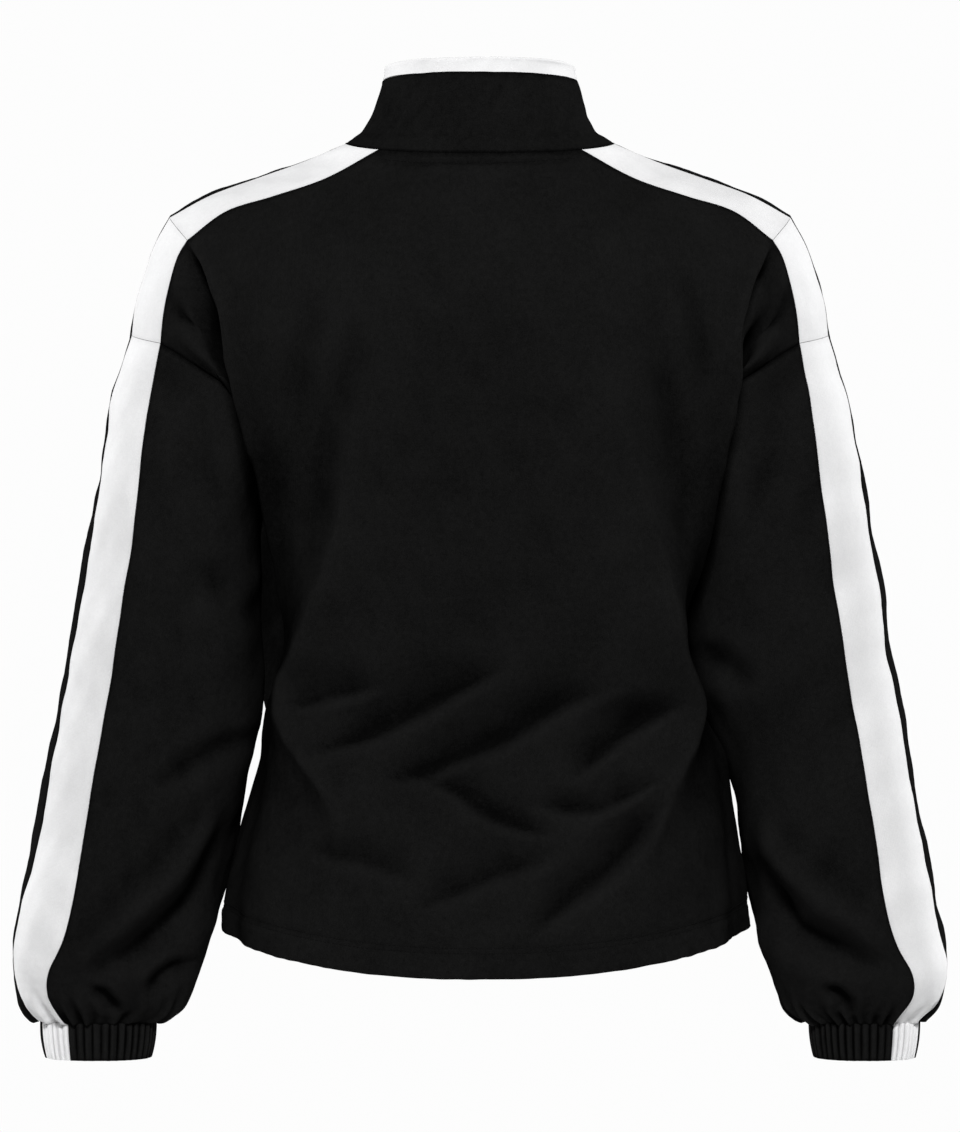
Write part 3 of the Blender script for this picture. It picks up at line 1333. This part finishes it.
def makeArm(sewing, side, stripe, sleeve, cuffParts):
    label = "l" if side == left else "r"
    flip = side == left
    split = sum(netSteps["arm"])
    wall = bodyCut["cloth"]
    edges = ("bottom", "top", "start", "end")
    normals = sewing.normals(f"stripe_{label}")
    for name, rows in (("upper_arm_stripe", slice(0, split + 1)),
                       ("shoulder_stripe", slice(split, None))):
        drawn = drawBack(stripe[rows], normals[rows], edges)
        sewWall(f"{name}_knit_{label}", drawn, normals[rows], np.full(drawn.shape[:2], wall),
                whiteKnit, flip)
    ring = closeNet(sleeve, True)
    turned = closeNet(sewing.normals(f"sleeve_{label}"), True)
    start = netSteps["stripe"]
    half = netSteps["upRows"]
    for name, columns, material in (
            ("sleeve_stripe", slice(0, start + 1), whiteKnit),
            ("sleeve_back", slice(start, start + half + 1), blackKnit),
            ("sleeve_front", slice(start + half, start + 2 * half + 1), blackKnit)):
        drawn = drawBack(ring[:, columns], turned[:, columns], edges)
        sewWall(f"{name}_knit_{label}", drawn, turned[:, columns],
                np.full(drawn.shape[:2], wall), material, flip)
    for part, (net, ribs), material in zip(("white", "black"), cuffParts,
                                           (whiteKnit, blackRib)):
        name = f"cuff_{part}_{label}"
        normals = sewing.normals(name)
        drawn = drawBack(net, normals, ("start", "end"))
        sewWall(f"cuff_{part}_rib_{label}", drawn, normals, np.full(net.shape[:2], wall),
                material, flip, free=("bottom",), ribs=ribs)


body = makeGarment()


def stitchTree():
    # straight stitches laid end to end along a curve
    tree = bpy.data.node_groups.new("stitches_along_seam", "GeometryNodeTree")
    for name, kind, value in (("Seam", "NodeSocketGeometry", None),
                              ("Spacing", "NodeSocketFloat", 0.003),
                              ("Length", "NodeSocketFloat", 0.0025),
                              ("Radius", "NodeSocketFloat", 0.0003),
                              ("Thread", "NodeSocketMaterial", None)):
        socket = tree.interface.new_socket(name, in_out="INPUT", socket_type=kind)
        if value is not None:
            socket.default_value = value
    tree.interface.new_socket("Stitches", in_out="OUTPUT", socket_type="NodeSocketGeometry")

    given = addNode(tree, "NodeGroupInput").outputs
    points = addNode(tree, "GeometryNodeResampleCurve", {"mode": "LENGTH"},
                     {"Curve": given["Seam"], "Length": given["Spacing"]})
    half = addNode(tree, "ShaderNodeMath", {"operation": "MULTIPLY"}, {0: given["Length"], 1: 0.5})
    size = addNode(tree, "ShaderNodeCombineXYZ", None,
                   {0: given["Radius"], 1: given["Radius"], 2: half.outputs[0]})
    thread = addNode(tree, "GeometryNodeMeshUVSphere", None,
                     {"Segments": 6, "Rings": 4, "Radius": 1.0})
    along = addNode(tree, "GeometryNodeInputTangent")
    turn = addNode(tree, "FunctionNodeAlignEulerToVector", {"axis": "Z"},
                   {"Vector": along.outputs[0]})
    placed = addNode(tree, "GeometryNodeInstanceOnPoints", None,
                     {"Points": points.outputs[0], "Instance": thread.outputs[0],
                      "Rotation": turn.outputs[0], "Scale": size.outputs[0]})
    solid = addNode(tree, "GeometryNodeRealizeInstances", None, {0: placed.outputs[0]})
    smoothed = addNode(tree, "GeometryNodeSetShadeSmooth", None, {0: solid.outputs[0]})
    painted = addNode(tree, "GeometryNodeSetMaterial", None,
                      {"Geometry": smoothed.outputs[0], "Material": given["Thread"]})
    addNode(tree, "NodeGroupOutput", None, {0: painted.outputs[0]})
    return tree


stitchNodes = stitchTree()


def sewRow(name, path, closed):
    # one row of stitches along a path of points in millimetres
    curve = bpy.data.curves.new(name, "CURVE")
    curve.dimensions = "3D"
    spline = curve.splines.new("POLY")
    spline.points.add(len(path) - 1)
    spots = np.column_stack((path * millimetre, np.ones(len(path))))
    spline.points.foreach_set("co", spots.ravel())
    spline.use_cyclic_u = closed
    seam = linkPiece(name + "_seam", curve)
    modifier = seam.modifiers.new("stitches", "NODES")
    modifier.node_group = stitchNodes
    sockets = {item.name: item.identifier for item in stitchNodes.interface.items_tree
               if item.in_out == "INPUT"}
    for label in ("Spacing", "Length", "Radius"):
        modifier[sockets[label]] = stitch[label.lower()]
    modifier[sockets["Thread"]] = blackThread
    bpy.context.view_layer.update()
    shown = seam.evaluated_get(bpy.context.evaluated_depsgraph_get())
    mesh = bpy.data.meshes.new_from_object(shown)
    mesh.name = name
    bpy.data.objects.remove(seam, do_unlink=True)
    piece = linkPiece(name, mesh)
    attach(piece, "root")
    return piece


def rowAt(net, height, flip, fromTop=False):
    # the line at a height along the cloth above the hem, or below the top edge
    base = net[-1:] if fromTop else net[:1]
    away = np.linalg.norm(net - base, axis=-1)
    facing = outward(net, False) * (-1 if flip else 1)
    raised = net + facing * stitch["stand"]
    if fromTop:
        away = away[::-1]
        raised = raised[::-1]
    rows = stitch["searchRows"]
    line = []
    for column in range(net.shape[1]):
        at = np.interp(height, away[:rows, column], np.arange(rows))
        low = int(at)
        share = at - low
        line.append(raised[low, column] * (1 - share) + raised[low + 1, column] * share)
    return np.array(line)


for count, height in enumerate(bodyRelief["stitchHeights"], start=1):
    backRow = rowAt(body["back"], height, False)
    frontRow = rowAt(body["front"], height, True)
    loop = np.vstack((backRow[1:-1], frontRow[::-1][1:-1]))
    sewRow(f"hem_stitches_{count}", loop, True)
ridgeColumn = sum(netSteps["arm"]) + netSteps["shoulder"]
neckPath = rowAt(body["back"], stitch["neckHeight"], False, fromTop=True)[ridgeColumn:-ridgeColumn]
neckRows = [sewRow("neck_topstitches", neckPath, False)]
print("hem and neck stitched")

for piece in pieces.values():
    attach(piece, "root")
stands = {
    "back_panel": "back", "front_panel": "front", "collar_knit": "collar",
    "collar_band_knit": "collar_band",
}
for label in "lr":
    for name in ("upper_arm_stripe", "shoulder_stripe", "sleeve_stripe", "sleeve_back",
                 "sleeve_front"):
        stands[f"{name}_knit_{label}"] = f"{name}_{label}"
    for part in ("white", "black"):
        stands[f"cuff_{part}_rib_{label}"] = f"cuff_{part}_{label}"
for name, node in stands.items():
    piece = pieces[name]
    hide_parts(node)
    white = "stripe" in name or "white" in name or "band" in name
    width, length, area = cuts[name]
    held = "gathered" if "cuff" in name or "sleeve" in name else "hung"
print("cuts", cuts)

studio = {
    "floor": -0.90,
    "floorTone": (0.6, 0.6, 0.6, 1),
    "radius": 0.8,
    "middleY": 0.1,
    "corners": 96,
    "sky": 0.04,                 # how brightly the surround lights the garment
    "paper": 0.98,               # brightness of the empty background
    "lights": (
        # name, place, aimed at, width, height, watts
        ("key", (0.0, -3.4, 1.75), (0, 0, -0.35), 1.2, 0.45, 196),
        ("side left", (-2.2, 0.9, 0.0), (-0.2, 0, -0.35), 0.6, 1.0, 60),
        ("side right", (2.2, 0.9, 0.0), (0.2, 0, -0.35), 0.6, 1.0, 60),
        ("front", (0.0, 3.4, 1.0), (0, 0, -0.35), 1.2, 0.45, 110),
    ),
}


def paleFloor():
    # a low round platform: nothing stands behind the garment, so it can be seen from every side
    mesh = bpy.data.meshes.new("pale_floor")
    turns = np.linspace(0, 2 * math.pi, studio["corners"], endpoint=False)
    spots = [(studio["radius"] * math.cos(turn),
              studio["middleY"] + studio["radius"] * math.sin(turn), studio["floor"])
             for turn in turns]
    mesh.from_pydata(spots, [], [list(range(len(spots)))])
    floor = linkPiece("pale_floor", mesh)
    paint = Paint("pale_paper")
    paint.set({"Base Color": studio["floorTone"], "Roughness": 0.95, "Specular IOR Level": 0.0})
    mesh.materials.append(paint.material)


def aim(thing, target):
    way = Vector(target) - thing.location
    thing.rotation_euler = way.to_track_quat("-Z", "Y").to_euler()


def lightStudio():
    world = bpy.data.worlds.new("studio")
    bpy.context.scene.world = world
    world.use_nodes = True
    tree = world.node_tree
    ray = addNode(tree, "ShaderNodeLightPath")
    level = addNode(tree, "ShaderNodeMapRange", None, {
        "Value": ray.outputs["Is Camera Ray"], "To Min": studio["sky"],
        "To Max": studio["paper"]})
    surround = tree.nodes["Background"]
    feed(tree, surround.inputs["Strength"], level.outputs["Result"])
    feed(tree, surround.inputs["Color"], (1, 1, 1, 1))
    for name, place, target, width, height, watts in studio["lights"]:
        light = bpy.data.lights.new(name, "AREA")
        light.shape = "RECTANGLE"
        light.size = width
        light.size_y = height
        light.energy = watts
        lamp = linkPiece(name, light)
        lamp.location = place
        aim(lamp, target)


view = {"place": (0, -2.4, -0.313), "target": (0, 0, -0.313), "lens": 103.1}


def placeCamera():
    camera = bpy.data.cameras.new("camera")
    camera.sensor_width = 36
    camera.lens = view["lens"]
    camera.clip_end = 50
    eye = linkPiece("camera", camera)
    eye.location = view["place"]
    aim(eye, view["target"])
    bpy.context.scene.camera = eye


paleFloor()
lightStudio()
placeCamera()
bpy.context.scene.view_settings.view_transform = "Standard"
bpy.context.scene.view_settings.look = "None"
print("studio ready")
